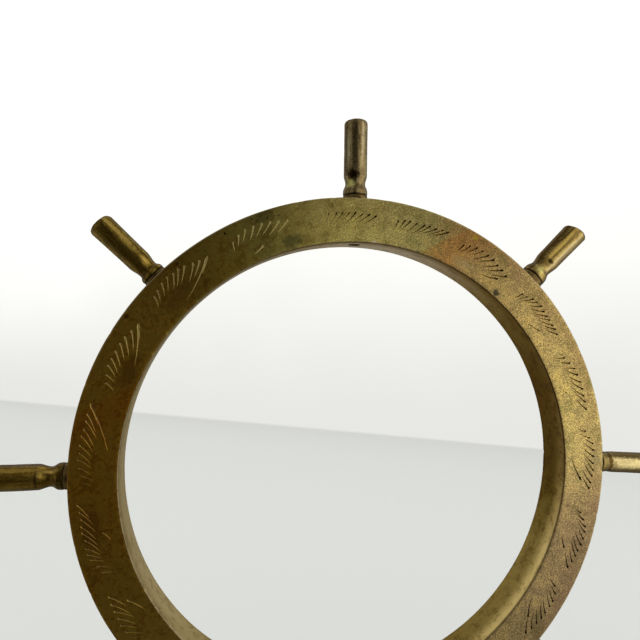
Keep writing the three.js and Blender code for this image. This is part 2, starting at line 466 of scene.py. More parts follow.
def roughen_handle(grid, shape, seed):
    """Turning marks, an uneven barrel with filed flats, knocks and a tip that was filed by hand."""
    chosen = np.random.default_rng(seed)
    base, top = shape["collar"], shape["length"]
    height = grid[..., 2]
    turn = np.arctan2(grid[..., 1], grid[..., 0])
    radius = np.hypot(grid[..., 0], grid[..., 1])
    outside = (radius > 2.3) & (height > base + 0.3)
    rings = sum(np.sin(height * rate + chosen.uniform(0, 6)) for rate in (4.3, 7.9, 11.7)) / 3
    swell = waves(4, 1, 4, seed)(turn + height * 0.07)
    extra = 0.018 * rings + 0.035 * swell
    for _ in range(26):
        at, up = chosen.uniform(-math.pi, math.pi), chosen.uniform(base + 1, top - 1)
        spread, size = chosen.uniform(0.25, 0.7), chosen.uniform(0.02, 0.08)
        away = (turn - at + math.pi) % (2 * math.pi) - math.pi
        extra -= size * np.exp(-((away * 3.4 / spread) ** 2 + ((height - up) / (spread * 1.6)) ** 2))
    radius = np.where(outside, radius + extra, radius)
    x, y = radius * np.cos(turn), radius * np.sin(turn)
    half_side = math.pi / FLAT_SIDES
    corner_turn = (turn + FIRST_FLAT) % (2 * half_side) - half_side
    flat = math.cos(half_side) / np.cos(corner_turn)
    on_barrel = np.clip((height - shape["neck_at"]) / (shape["shoulder_at"] - shape["neck_at"]), 0, 1)
    facets = 1 + (flat - 1) * shape["facets"] * np.where(outside, on_barrel, 0)
    x, y = x * facets, y * facets
    near_tip = np.clip((height - (top - 3.2)) / 3.2, 0, 1) ** 1.5
    tilt = shape["slant"]
    lowered = np.clip(-x / shape["end"] * np.sign(tilt) * 0.5 + 0.5, 0, 1) ** 1.3 * abs(tilt)
    return np.stack([x, y, height - near_tip * lowered], -1)


def build_handle(name, shape, material, seed):
    grid = turned_points(handle_profile(shape), HANDLE_COLUMNS)
    points, faces = closed_turning(roughen_handle(grid, shape, seed))
    handle = make_object("handle." + name, points, faces, material, FRAMES[name], 40)
    take_place(handle, "handle_" + name, name + "_handle")


def build_collar(name, shape, material, seed):
    """A thin ring whose faces and edge were never quite true."""
    low, high, foot = -SEAT_DEPTH + GAP, shape["collar"], shape["foot"]
    profile = [[COLLAR_BORE, low], [foot - 0.25, low], [foot - 0.07, low + 0.07], [foot, low + 0.25]]
    profile += [[foot + 0.03, (low + high) / 2], [foot, high - 0.25], [foot - 0.07, high - 0.07]]
    profile += [[foot - 0.25, high], [COLLAR_BORE, high]]
    grid = turned_points(profile, HANDLE_COLUMNS)
    turn = full_turn(HANDLE_COLUMNS)
    wave = 1 + 0.008 * waves(5, 2, 9, seed)(turn)
    grid[1:-1, :, :2] *= wave[None, :, None]
    faces = grid_faces(len(grid), HANDLE_COLUMNS, wrap_rows=True)
    collar = make_object("collar." + name, grid.reshape(-1, 3), faces, material, FRAMES[name], 40)
    take_place(collar, "collar_" + name, name + "_collar")


def build_stud(name, shape, material):
    points, faces = closed_turning(stud_grid(shape))
    stud = make_object("stud." + name, points, faces, material, FRAMES[name], 50)
    take_place(stud, "stud_" + name, name + "_handle")


# ------------------------------------------------ shader helpers


class Shader:
    """A thin layer over a node tree, so that a material reads as a few lines of sums."""

    def __init__(self, tree):
        self.tree = tree

    def node(self, kind, **settings):
        made = self.tree.nodes.new("ShaderNode" + kind)
        for key, value in settings.items():
            setattr(made, key, value)
        return made

    def fill(self, node, **values):
        """Feeds a node's inputs by name, with _ for each space."""
        for name, value in values.items():
            self.feed(node.inputs[name.replace("_", " ")], value)
        return node

    def feed(self, socket, value):
        """Feeds a socket from another node's output, or sets it to a constant."""
        if isinstance(value, bpy.types.NodeSocket):
            self.tree.links.new(value, socket)
        elif isinstance(value, (tuple, list)) and len(value) == 3 and len(socket.default_value) == 4:
            socket.default_value = (*value, 1)
        else:
            socket.default_value = value

    def math(self, kind, *values):
        made = self.node("Math", operation=kind)
        for socket, value in zip(made.inputs, values):
            self.feed(socket, value)
        return made.outputs[0]

    def add(self, first, second):
        return self.math("ADD", first, second)

    def times(self, first, second):
        return self.math("MULTIPLY", first, second)

    def centred(self, value, factor):
        """A noise of about 0.5, moved to about 0 and scaled."""
        return self.times(self.add(value, -0.5), factor)

    def weigh(self, first, share, second, second_share):
        return self.add(self.times(first, share), self.times(second, second_share))

    def share_of_turn(self, first, second):
        """The angle of a direction, from 0 to 1 over a whole turn."""
        return self.math("MULTIPLY_ADD", self.math("ARCTAN2", first, second), 1 / (2 * math.pi), 0.5)

    def length(self, *parts):
        total = self.times(parts[0], parts[0])
        for part in parts[1:]:
            total = self.add(total, self.times(part, part))
        return self.math("SQRT", total)

    def between(self, value, low, high, to_low, to_high):
        """Maps low..high smoothly onto to_low..to_high, and holds the ends."""
        made = self.node("MapRange", interpolation_type="SMOOTHSTEP")
        for socket, given in zip(made.inputs, (value, low, high, to_low, to_high)):
            self.feed(socket, given)
        return made.outputs[0]

    def rise(self, value, low, high, most=1.0, mask=None):
        """0 at low, most at high, and only as far as the mask says."""
        made = self.between(value, low, high, 0.0, most)
        return made if mask is None else self.times(made, mask)

    def mix(self, kind, first, second, share=1.0):
        made = self.node("Mix", data_type="RGBA", blend_type=kind)
        for socket, value in ((0, share), (6, first), (7, second)):
            self.feed(made.inputs[socket], value)
        return made.outputs[2]

    def blend(self, first, second, share):
        return self.mix("MIX", first, second, share)

    def tint(self, colour, factor, share=1.0):
        return self.mix("MULTIPLY", colour, factor, share)

    def ramp(self, share, stops):
        """A colour ramp. Stops are (position, colour or grey)."""
        made = self.node("ValToRGB")
        elements = made.color_ramp.elements
        while len(elements) > 1:
            elements.remove(elements[-1])
        for index, (at, colour) in enumerate(stops):
            element = elements[0] if index == 0 else elements.new(at)
            element.position = at
            colour = colour if isinstance(colour, tuple) else (colour,) * 3
            element.color = (*colour, 1)
        self.feed(made.inputs[0], share)
        return made.outputs[0]

    def noise(self, where, scale, detail=4.0, roughness=0.55, distortion=0.0):
        made = self.fill(self.node("TexNoise"), Vector=where, Scale=scale, Detail=detail,
                         Roughness=roughness, Distortion=distortion)
        return made.outputs[0]

    def split(self, vector):
        return self.fill(self.node("SeparateXYZ"), Vector=vector).outputs

    def stretch(self, vector, factors, shift=(0, 0, 0)):
        made = self.fill(self.node("Mapping"), Vector=vector, Scale=factors, Location=shift)
        return made.outputs[0]

    def bump(self, height, distance_mm, strength):
        made = self.fill(self.node("Bump"), Distance=distance_mm * MM, Strength=strength, Height=height)
        return made.outputs[0]

    def place_mm(self):
        """The point in the object's own frame, in millimetres."""
        where = self.node("TexCoord").outputs["Object"]
        return self.stretch(where, (1 / MM, 1 / MM, 1 / MM))

    def crevice(self, distance_mm):
        """0 in tight corners and grooves, 1 in the open."""
        made = self.node("AmbientOcclusion", samples=4)
        return self.fill(made, Distance=distance_mm * MM).outputs["AO"]

    def mix_shaders(self, share, first, second):
        made = self.node("MixShader")
        for socket, value in zip(made.inputs, (share, first.outputs[0], second.outputs[0])):
            self.feed(socket, value)
        return made

    def glossy_only(self, seen, reflected):
        """One shader for reflections, and another for every other ray."""
        return self.mix_shaders(self.node("LightPath").outputs["Is Glossy Ray"], seen, reflected)

    def show(self, result):
        """Makes a shader the material's surface."""
        self.feed(self.tree.nodes["Material Output"].inputs["Surface"], result.outputs[0])


def new_material(name):
    material = bpy.data.materials.new(name)
    material.use_nodes = True
    sh = Shader(material.node_tree)
    return material, sh, material.node_tree.nodes["Principled BSDF"]


# What the metal reflects, by azimuth from the front towards +X: the viewer's dark shape is a
# little to the left of the middle, and the window side is on the right.
SURROUNDINGS = [(-180, 0.5), (-130, 0.25), (-95, 0.15), (-70, 0.35), (-44, 0.2), (-33, 0.09), (-1, 0.09),
                (8, 0.55), (29, 0.7), (38, 1.5), (62, 1.5), (80, 1.0), (100, 0.6), (130, 0.3), (180, 0.5)]


def surroundings(sh, x, y):
    share = sh.share_of_turn(x, sh.times(y, -1.0))
    return sh.ramp(share, [(a / 360 + 0.5, v) for a, v in SURROUNDINGS])


def reflected_room(sh, towards):
    """The surroundings in one direction, which blend into a dim even light overhead."""
    x, y, z = sh.split(towards)
    height = sh.math("DIVIDE", z, sh.length(x, y, z))
    overhead = sh.ramp(height, [(0.2, 0.0), (0.7, 0.6), (0.9, 1.0)])
    return sh.blend(surroundings(sh, x, y), (0.3, 0.3, 0.29), overhead)


# ------------------------------------------------ rim material

# Colour of the rim's front round the wheel, as (angle, colour), linear.
FRONT_TONES = [
    (-90, (0.26, 0.185, 0.07)), (-50, (0.25, 0.18, 0.075)), (-20, (0.245, 0.17, 0.08)),
    (-10, (0.3, 0.21, 0.09)), (0, (0.41, 0.305, 0.11)), (15, (0.39, 0.29, 0.096)),
    (33, (0.38, 0.27, 0.095)), (48, (0.32, 0.225, 0.08)), (66, (0.29, 0.185, 0.062)),
    (72, (0.3, 0.245, 0.082)), (80, (0.38, 0.31, 0.1)), (92, (0.46, 0.37, 0.108)),
    (102, (0.35, 0.28, 0.07)), (112, (0.21, 0.17, 0.036)), (122, (0.22, 0.155, 0.022)),
    (131, (0.19, 0.12, 0.016)),
    (140, (0.29, 0.17, 0.022)), (160, (0.36, 0.2, 0.022)), (185, (0.37, 0.19, 0.018)),
    (210, (0.33, 0.195, 0.025)), (240, (0.3, 0.2, 0.045)), (269, (0.26, 0.185, 0.07)),
]
# Colour of the inner wall round the wheel, as (angle, colour), linear: its pale grey near the top is a
# painted reflection of the pale floor.
INNER_TONES = [
    (-90, (0.3, 0.22, 0.08)), (-25, (0.64, 0.49, 0.2)), (-10, (0.38, 0.27, 0.1)),
    (0, (0.25, 0.17, 0.065)), (20, (0.17, 0.11, 0.045)), (40, (0.25, 0.185, 0.09)),
    (50, (0.35, 0.275, 0.155)), (60, (0.5, 0.41, 0.28)), (72, (0.7, 0.63, 0.51)),
    (86, (0.74, 0.68, 0.56)), (94, (0.66, 0.6, 0.49)), (102, (0.48, 0.43, 0.33)),
    (112, (0.4, 0.36, 0.26)), (140, (0.38, 0.34, 0.24)),
    (160, (0.5, 0.44, 0.29)), (200, (0.5, 0.43, 0.27)), (269, (0.3, 0.22, 0.08)),
]
BACK_TONE = (0.3, 0.21, 0.07)
# Other things that change round the wheel, as (angle, share).
AROUND = {
    # how golden and grainy the front is, with painted glints and painted shade on its inner front edge,
    # against the darker, redder left side
    "bright_side": [(-90, 0.85), (-30, 1.0), (60, 1.0), (80, 0.8), (92, 0.65), (104, 0.5), (118, 0.3),
                    (130, 0.15), (225, 0.15), (269, 0.85)],
    # how bare the metal in the tool marks still is, and how much painted highlight lies in them
    "fresh": [(-90, 0.0), (84, 0.0), (92, 0.1), (97, 0.75), (103, 1.0), (120, 1.0), (132, 0.75),
              (150, 0.8), (159, 0.7), (165, 0.5), (172, 0.35), (189, 0.3), (196, 0.45), (208, 0.45),
              (225, 0.1), (269, 0.0)],
    # how much the outer edge is rubbed bright and carries a painted highlight
    "edge_shine": [(-90, 0.5), (90, 0.4), (105, 0.1), (116, 0.6), (150, 0.6), (160, 0.1), (225, 0.1),
                   (269, 0.5)],
    # how dark the inner wall is behind its front edge, and at its back
    "wall_front": [(-90, 0.0), (30, 0.05), (42, 0.5), (50, 0.75), (62, 0.95), (106, 0.95), (118, 0.8),
                   (150, 0.75), (170, 0.55), (200, 0.5), (269, 0.0)],
    "wall_back": [(-90, 1.0), (-5, 1.0), (8, 0.6), (20, 0.35), (32, 0.1), (45, 0.0), (215, 0.0),
                  (269, 1.0)],
}
# Stains on the front: angle, radius, half length round the wheel, half width across, colour, strength.
STAINS = [
    (119.0, 74.3, 0.35, 0.45, (0.01, 0.006, 0.002), 1.0),
    (145.0, 74.8, 0.8, 0.6, (0.05, 0.015, 0.004), 0.8),
    (61.7, 74.6, 0.9, 0.6, (0.3, 0.24, 0.03), 0.9),
    (95.2, 73.9, 0.2, 0.6, (0.03, 0.02, 0.01), 0.8),
    (15.3, 74.0, 0.5, 0.7, (0.16, 0.09, 0.03), 0.7),
    (50.0, 64.8, 1.0, 1.0, (0.03, 0.03, 0.02), 0.9),
    (85.4, 63.9, 0.8, 0.5, (0.6, 0.5, 0.3), 0.8),
    (110.0, 74.5, 2.6, 1.8, (0.06, 0.045, 0.012), 0.5),
    *((*dot, (0.02, 0.012, 0.004), 0.55) for dot in (
        (108.3, 74.9, 0.35, 0.35), (109.6, 73.7, 0.45, 0.3), (110.6, 74.8, 0.3, 0.4),
        (111.8, 74.0, 0.4, 0.35), (112.6, 74.9, 0.35, 0.3), (107.2, 73.6, 0.35, 0.35))),
    (105.5, 66.0, 3.2, 1.7, (0.07, 0.075, 0.025), 0.65),
    (190.0, 71.0, 6.0, 2.6, (0.16, 0.06, 0.008), 0.6),
    (155.0, 67.0, 5.5, 2.4, (0.15, 0.055, 0.008), 0.6),
    (135.0, 68.5, 5.0, 2.4, (0.15, 0.065, 0.01), 0.5),
    (0.5, 73.6, 2.0, 1.2, (0.18, 0.15, 0.08), 0.45),
    (12.0, 69.2, 0.9, 1.0, (0.15, 0.12, 0.05), 0.5),
    (-11.5, 65.6, 0.6, 0.7, (0.13, 0.08, 0.04), 0.7),
    (130.5, 74.6, 0.5, 0.4, (0.05, 0.02, 0.006), 0.8),
    (62.0, 66.0, 4.0, 1.6, (0.36, 0.28, 0.12), 0.5),
]


def round_ramp(sh, share, stops):
    """A ramp round the wheel, which starts and ends at the bottom. Stops are (angle, value)."""
    return sh.ramp(share, [((angle - 90) / 360 + 0.5, value) for angle, value in stops])


def rim_colour(sh):
    """Patina of the rim: its colour, and the maps that also shape its finish."""
    place = sh.place_mm()
    x, y, z = sh.split(place)
    radius = sh.length(x, z)
    patchy = sh.noise(place, 0.3, 6, 0.62, 0.35)
    grainy = sh.noise(place, 1.15, 5, 0.78, 0.25)
    fine = sh.noise(place, 2.5, 4, 0.8)
    share = sh.add(sh.share_of_turn(sh.times(x, -1.0), z), sh.centred(patchy, 0.03))
    front = round_ramp(sh, share, FRONT_TONES)
    inner = round_ramp(sh, share, INNER_TONES)
    on_inner = sh.rise(radius, RIM_INNER + 0.3, RIM_INNER + 0.12)
    maps = SimpleNamespace(y=y, radius=radius, patchy=patchy, grainy=grainy, fine=fine, on_inner=on_inner)
    for name, stops in AROUND.items():
        setattr(maps, name, round_ramp(sh, share, stops))
    maps.dark_side = sh.math("SUBTRACT", 1.0, maps.bright_side)
    near_front = sh.rise(y, FRONT + 3.0, FRONT + 0.8)
    front = sh.blend(sh.blend(front, BACK_TONE, 0.6), front, near_front)
    colour = worn_brown_and_glinting(sh, front, maps, place)
    colour = red_drifts(sh, colour, maps, place)
    stained = orange_patch(sh, stain(sh, colour, place, x, z), x, z, patchy)
    colour = sh.blend(colour, stained, near_front)
    return sh.blend(colour, inner_wall(sh, inner, maps), on_inner), maps


def worn_brown_and_glinting(sh, colour, maps, place):
    """Brown and pinkish tarnish over bare brass, in crisp grains, with painted glints, mostly on the
    right half.
    """
    outward = sh.between(maps.radius, 66.0, 75.5, -0.035, 0.05)
    level = sh.add(sh.weigh(maps.grainy, 0.62, maps.patchy, 0.38), outward)
    brown = sh.rise(level, 0.49, 0.56, 0.65, maps.bright_side)
    pink = sh.rise(sh.noise(place, 0.12, 3, 0.6), 0.42, 0.6)
    tarnish = sh.blend((0.56, 0.52, 0.5), (0.72, 0.6, 0.72), pink)
    colour = sh.tint(colour, tarnish, brown)
    colour = sh.tint(colour, (1.3, 1.26, 1.1), sh.rise(level, 0.475, 0.41, 1.0, maps.bright_side))
    speck = sh.rise(maps.fine, 0.52, 0.6, 0.9, maps.bright_side)
    colour = sh.blend(colour, (0.09, 0.06, 0.025), speck)
    # Painted glints: fine bright specks that stand in for light catching the grain.
    colour = sh.tint(colour, (1.75, 1.75, 1.7), sh.rise(maps.fine, 0.48, 0.4, 1.0, maps.bright_side))
    green = sh.rise(sh.noise(place, 0.3, 4, 0.6, 0.4), 0.54, 0.7, 0.5)
    return sh.tint(colour, (0.72, 0.92, 0.75), green)


def red_drifts(sh, colour, maps, place):
    """Reddish brown drifts and faint pale marks, mostly on the left half."""
    level = sh.weigh(sh.noise(place, 0.8, 6, 0.78, 0.4), 0.6, maps.patchy, 0.4)
    red = sh.rise(level, 0.495, 0.565, 0.9, maps.dark_side)
    colour = sh.tint(colour, (0.65, 0.45, 0.32), red)
    colour = sh.tint(colour, (1.15, 1.35, 1.5), sh.rise(level, 0.47, 0.38, 0.6, maps.dark_side))
    return sh.tint(colour, (1.9, 1.9, 2.6), sh.rise(maps.fine, 0.6, 0.72, 0.4, maps.dark_side))


def inner_wall(sh, colour, maps):
    """The wall that faces the open centre: dull, patchy, darker behind the front edge, and on its right
    and lower part darker towards its back.
    """
    level = sh.weigh(maps.grainy, 0.5, maps.patchy, 0.5)
    colour = sh.tint(colour, (0.45, 0.38, 0.3), sh.rise(level, 0.5, 0.58, 0.6))
    colour = sh.tint(colour, (1.8, 1.7, 1.5), sh.rise(maps.fine, 0.6, 0.72, 0.7))
    front = sh.rise(maps.y, FRONT + 6.0, FRONT + 0.2, 1.0, maps.wall_front)
    colour = sh.tint(colour, (0.46, 0.42, 0.34), front)
    back = sh.rise(maps.y, FRONT + 0.8, FRONT + 6.0, 1.0, maps.wall_back)
    return sh.tint(colour, (0.38, 0.36, 0.3), back)


def stain(sh, colour, place, x, z):
    """Adds the stains, each an ellipse along the wheel with a ragged edge."""
    ragged = sh.centred(sh.noise(place, 0.9, 6, 0.7), 2.6)
    for angle, radius, long, wide, tone, strength in STAINS:
        cosine, sine = polar(angle, 1.0).tolist()
        out = sh.math("MULTIPLY_ADD", z, sine / wide, -radius / wide)
        out = sh.math("MULTIPLY_ADD", x, cosine / wide, out)
        along = sh.math("MULTIPLY_ADD", x, -sine / long, sh.times(z, cosine / long))
        here = sh.rise(sh.add(sh.length(out, along), ragged), 1.35, 0.45, strength)
        colour = sh.blend(colour, tone, here)
    return colour


def orange_patch(sh, colour, x, z, patchy):
    """The sharp slanting edge near the top right, green on its left and orange on its right."""
    start, end = polar(64.0, 75.7), polar(72.6, 64.5)
    way = (end - start) / np.linalg.norm(end - start)
    side_x, side_z = float(-way[1]), float(way[0])
    offset = float(-(start[0] * side_x + start[1] * side_z))
    across = sh.math("MULTIPLY_ADD", x, side_x, sh.math("MULTIPLY_ADD", z, side_z, offset))
    across = sh.add(across, sh.centred(patchy, 2.0))
    right = sh.rise(across, -0.3, 0.3)
    return sh.tint(colour, (1.02, 0.8, 0.66), sh.rise(across, 12.0, 3.0, 0.8, right))


def build_rim_material(name, groove=0.0):
    """Tarnished brass for the rim, with painted highlights and shade on its edges and in its cut marks.
    groove is how much grime and painted shade lie in the cut marks.
    """
    material, sh, surface = new_material(name)
    colour, maps = rim_colour(sh)
    radius, y = maps.radius, maps.y
    if groove:
        # In the cut marks: lighter brass, bare brass that is also a painted highlight on lit walls, and
        # near-black grime that is also painted shade deeper down.
        colour = sh.tint(colour, (1.1, 1.05, 0.95))
        bare_and_highlight_fill = sh.rise(y, FRONT + 0.02, FRONT + 0.07, 1.0, maps.fresh)
        colour = sh.blend(colour, (0.56, 0.46, 0.19), sh.times(bare_and_highlight_fill, 0.9))
        deep = sh.rise(y, FRONT + 0.05, FRONT + 0.13, groove)
        deep = sh.times(deep, sh.math("MULTIPLY_ADD", maps.fresh, -0.75, 1.0))
        colour = sh.blend(colour, (0.008, 0.005, 0.003), deep)
    # Painted shade: a thin near-black line along the inner front edge on the bright side, where the
    # rounded edge turns away from the light.
    edge = sh.rise(radius, RIM_INNER + 0.4, RIM_INNER + 0.15)
    near_front = sh.rise(y, FRONT + 0.75, FRONT + 0.4, 0.6)
    edge = sh.times(edge, sh.times(maps.bright_side, near_front))
    colour = sh.blend(colour, (0.05, 0.022, 0.008), edge)
    # Rubbed outer edge with a painted highlight, where the rounded edge would catch the bright wall.
    rubbed_edge_highlight_mask = sh.rise(radius, RIM_OUTER - 0.5, RIM_OUTER - 0.15, 1.0, maps.edge_shine)
    colour = sh.blend(colour, (0.55, 0.45, 0.26), rubbed_edge_highlight_mask)
    # Grime and painted shade in the marks, holes and other crevices, found by ambient occlusion.
    colour = sh.blend(colour, (0.02, 0.013, 0.006), sh.rise(sh.crevice(0.8), 0.55, 0.15, 0.85))
    rough = sh.add(sh.between(maps.patchy, 0.3, 0.7, 0.29, 0.4), sh.centred(maps.grainy, 0.35))
    rough = sh.add(rough, sh.times(maps.on_inner, 0.08))
    relief = sh.weigh(maps.grainy, 0.6, maps.fine, 0.4)
    specular = sh.blend((0.8, 0.7, 0.5), (0.4, 0.32, 0.2), maps.on_inner)
    # The painted highlight in the marks is made less metallic, so that it shows whatever it reflects.
    metallic = sh.math("MULTIPLY_ADD", bare_and_highlight_fill, -0.65, 1.0) if groove else 1.0
    sh.fill(surface, Base_Color=colour, Roughness=rough, Normal=sh.bump(relief, 0.07, 0.8),
            Specular_Tint=specular, Metallic=metallic)
    return material


# ------------------------------------------------ handle materials

# Grime and painted shade in crevices, found by ambient occlusion.
CREVICE_GRIME_AND_SHADE = (0.02, 0.014, 0.008)
# Patch colours: grime and painted shade, brown tarnish and painted shade, a painted gold highlight, lime,
# and a painted pale highlight.
GRIME_AND_SHADE = (0.024, 0.014, 0.004)
BROWN_TARNISH_AND_SHADE = (0.085, 0.045, 0.006)
GOLD_HIGHLIGHT = (0.85, 0.58, 0.14)
LIME = (0.75, 0.7, 0.22)
PALE_HIGHLIGHT = (0.8, 0.68, 0.42)

# Per handle: brass colour, patina colour, how much patina, how much dirt and painted shade darken the
# waist, and patches as (degrees round the handle, height, half width in degrees, half height, strength,
# colour).
# -90 degrees faces the viewer. Most patches are painted highlights, reflections and shade laid out for
# that view, among some tarnish.
FINISHES = {
    "top": ((0.37, 0.285, 0.13), (0.18, 0.115, 0.045), 0.5, 0.25, [
        (-104, 15, 17, 10.0, 0.65, GRIME_AND_SHADE), (-141, 14.5, 9, 6.0, 0.6, PALE_HIGHLIGHT),
        (-62, 17, 10, 6.0, 0.35, PALE_HIGHLIGHT), (-161, 14, 12, 10.0, 0.4, BROWN_TARNISH_AND_SHADE),
        (-131, 4.7, 28, 1.2, 1.0, LIME), (-112, 7.3, 34, 1.5, 1.0, GRIME_AND_SHADE),
        (-100, 1.7, 70, 0.3, 0.7, GRIME_AND_SHADE)]),
    "upper_right": ((0.45, 0.32, 0.1), (0.23, 0.14, 0.035), 0.4, 0.2, [
        (-158, 14, 24, 13, 0.9, BROWN_TARNISH_AND_SHADE), (-116, 15, 11, 9, 0.9, GOLD_HIGHLIGHT), (-130, 19, 7, 4, 0.7, BROWN_TARNISH_AND_SHADE),
        (-99, 16, 7, 9, 0.4, BROWN_TARNISH_AND_SHADE), (-68, 14, 14, 10, 0.3, PALE_HIGHLIGHT), (-97, 8.9, 17, 0.6, 0.9, GRIME_AND_SHADE),
        (-134, 7.2, 22, 1.5, 0.45, BROWN_TARNISH_AND_SHADE), (-108, 4.8, 26, 1.1, 0.5, LIME),
        (-90, 2.6, 170, 0.35, 0.8, GRIME_AND_SHADE), (-146, 4.9, 12, 1.4, 0.7, GRIME_AND_SHADE)]),
    "right": ((0.62, 0.5, 0.22), (0.3, 0.21, 0.09), 0.25, 0.0, [
        (-42, 14, 26, 13, 0.75, BROWN_TARNISH_AND_SHADE), (-150, 14, 30, 13, 0.85, BROWN_TARNISH_AND_SHADE),
        (-90, 3.0, 110, 1.3, 0.85, (0.22, 0.15, 0.035)), (-90, 4.95, 170, 0.75, 0.95, BROWN_TARNISH_AND_SHADE),
        (-76, 6.4, 30, 1.0, 0.4, BROWN_TARNISH_AND_SHADE)]),
    "lower_right": ((0.42, 0.31, 0.12), (0.2, 0.13, 0.05), 0.5, 0.4, [
        (-70, 6.5, 40, 1.2, 0.7, GRIME_AND_SHADE), (-120, 14, 12, 8, 0.5, BROWN_TARNISH_AND_SHADE)]),
    "bottom": ((0.4, 0.3, 0.11), (0.18, 0.12, 0.045), 0.55, 0.4, [
        (-100, 5.4, 50, 1.0, 0.7, GRIME_AND_SHADE), (-70, 15, 10, 8, 0.5, BROWN_TARNISH_AND_SHADE)]),
    "lower_left": ((0.34, 0.23, 0.05), (0.14, 0.08, 0.02), 0.55, 0.4, [
        (-60, 4.6, 50, 1.0, 0.8, GRIME_AND_SHADE), (-110, 13, 16, 8, 0.5, BROWN_TARNISH_AND_SHADE)]),
    "left": ((0.34, 0.215, 0.035), (0.15, 0.083, 0.01), 0.5, 0.35, [
        (-90, 2.6, 150, 0.9, 0.5, GRIME_AND_SHADE), (-98, 5.0, 40, 1.8, 0.5, BROWN_TARNISH_AND_SHADE),
        (-92, 8.5, 70, 0.28, 0.7, GRIME_AND_SHADE), (-44, 15, 11, 12, 0.35, GOLD_HIGHLIGHT), (-52, 4.6, 11, 1.6, 0.8, GOLD_HIGHLIGHT),
        (-66, 7.6, 16, 0.8, 0.35, GOLD_HIGHLIGHT), (-8, 13, 20, 14, 0.9, BROWN_TARNISH_AND_SHADE)]),
    "upper_left": ((0.33, 0.22, 0.037), (0.11, 0.063, 0.009), 0.5, 0.3, [
        (-114, 12, 34, 11, 0.6, BROWN_TARNISH_AND_SHADE), (-56, 17, 13, 9, 0.6, GOLD_HIGHLIGHT), (-62, 5.6, 12, 1.8, 0.35, GOLD_HIGHLIGHT),
        (-90, 1.15, 170, 0.25, 0.6, GRIME_AND_SHADE), (-90, 2.9, 170, 0.22, 0.45, GRIME_AND_SHADE)]),
}


def add_patches(sh, colour, turn, height, ragged, patches):
    """Ragged patches on a turned piece, by angle round it and height along it."""
    for degrees, up, wide, tall, strength, tone in patches:
        away = sh.math("WRAP", sh.add(turn, -math.radians(degrees)), math.pi, -math.pi)
        across = sh.times(away, 1 / math.radians(wide))
        along = sh.math("MULTIPLY_ADD", height, 1 / tall, -up / tall)
        here = sh.rise(sh.add(sh.length(across, along), ragged), 1.3, 0.5, strength)
        colour = sh.blend(colour, tone, here)
    return colour


def build_handle_material(name, shape, finish, seed):
    """Worn brass with lengthwise streaks, patches of tarnish and of painted light and shade, dirt and
    painted shade in the waist, a painted shadow at the foot and painted shade on grazing edges.
    """
    brass, patina, cover, neck_dirt_and_shade, patches = finish
    material, sh, surface = new_material("handle_brass_" + name)
    place = sh.place_mm()
    x, y, height = sh.split(place)
    moved = sh.stretch(place, (1, 1, 1), (seed * 7.3, seed * 3.1, seed * 5.7))
    turn = sh.math("ARCTAN2", y, x)
    streaks = sh.noise(sh.stretch(moved, (1, 1, 0.14)), 1.0, 5, 0.65, 0.2)
    patchy = sh.noise(moved, 0.6, 6, 0.7, 0.5)
    grainy = sh.noise(moved, 2.6, 4, 0.75)
    level = sh.weigh(streaks, 0.6, patchy, 0.4)
    colour = sh.blend(brass, patina, sh.rise(level, 0.46, 0.54, min(1.0, cover * 1.6)))
    ragged = sh.centred(sh.noise(moved, 1.3, 5, 0.65), 1.7)
    # Dirt and painted shade round the waist, where the neck turns away from the light.
    neck = sh.math("ABSOLUTE", sh.add(height, -shape["neck_at"]))
    neck = sh.rise(sh.add(neck, ragged), 2.2, 0.2, neck_dirt_and_shade)
    colour = sh.tint(colour, (0.42, 0.37, 0.3), neck)
    # Patches: tarnish, and painted highlights, reflections and shade laid out for the front view.
    colour = add_patches(sh, colour, turn, height, ragged, patches)
    colour = sh.tint(colour, (0.42, 0.36, 0.3), sh.rise(grainy, 0.47, 0.32, 0.8))
    colour = sh.tint(colour, (1.5, 1.42, 1.25), sh.rise(grainy, 0.54, 0.68, 0.7))
    # Painted shadow in the gap between the handle's foot and its collar.
    foot_shadow = sh.rise(height, shape["collar"] + 0.7, shape["collar"] + 0.1, 0.85)
    colour = sh.blend(colour, (0.03, 0.02, 0.01), foot_shadow)
    # Grime and painted shade where parts meet, found by ambient occlusion.
    colour = sh.blend(colour, CREVICE_GRIME_AND_SHADE, sh.rise(sh.crevice(1.4), 0.75, 0.3, 0.8))
    rough = sh.add(sh.between(patchy, 0.3, 0.7, 0.2, 0.34), sh.centred(grainy, 0.25))
    lathe = sh.noise(sh.stretch(moved, (0.15, 0.15, 6.0)), 1.0, 2, 0.5)
    relief = sh.weigh(grainy, 0.6, lathe, 0.3)
    sh.fill(surface, Base_Color=colour, Roughness=rough, Normal=sh.bump(relief, 0.06, 0.6),
            Metallic=1.0)
    painted_grazing_shade(sh, surface)
    return material


def painted_grazing_shade(sh, surface):
    """Painted shade that takes the shine off wherever the surface turns away from the eye."""
    facing = sh.fill(sh.node("LayerWeight"), Blend=0.5).outputs["Facing"]
    grazing_shade_coat = sh.fill(sh.node("BsdfDiffuse"), Color=(0.048, 0.031, 0.008))
    sh.show(sh.mix_shaders(sh.rise(facing, 0.22, 0.8, 0.85), surface, grazing_shade_coat))


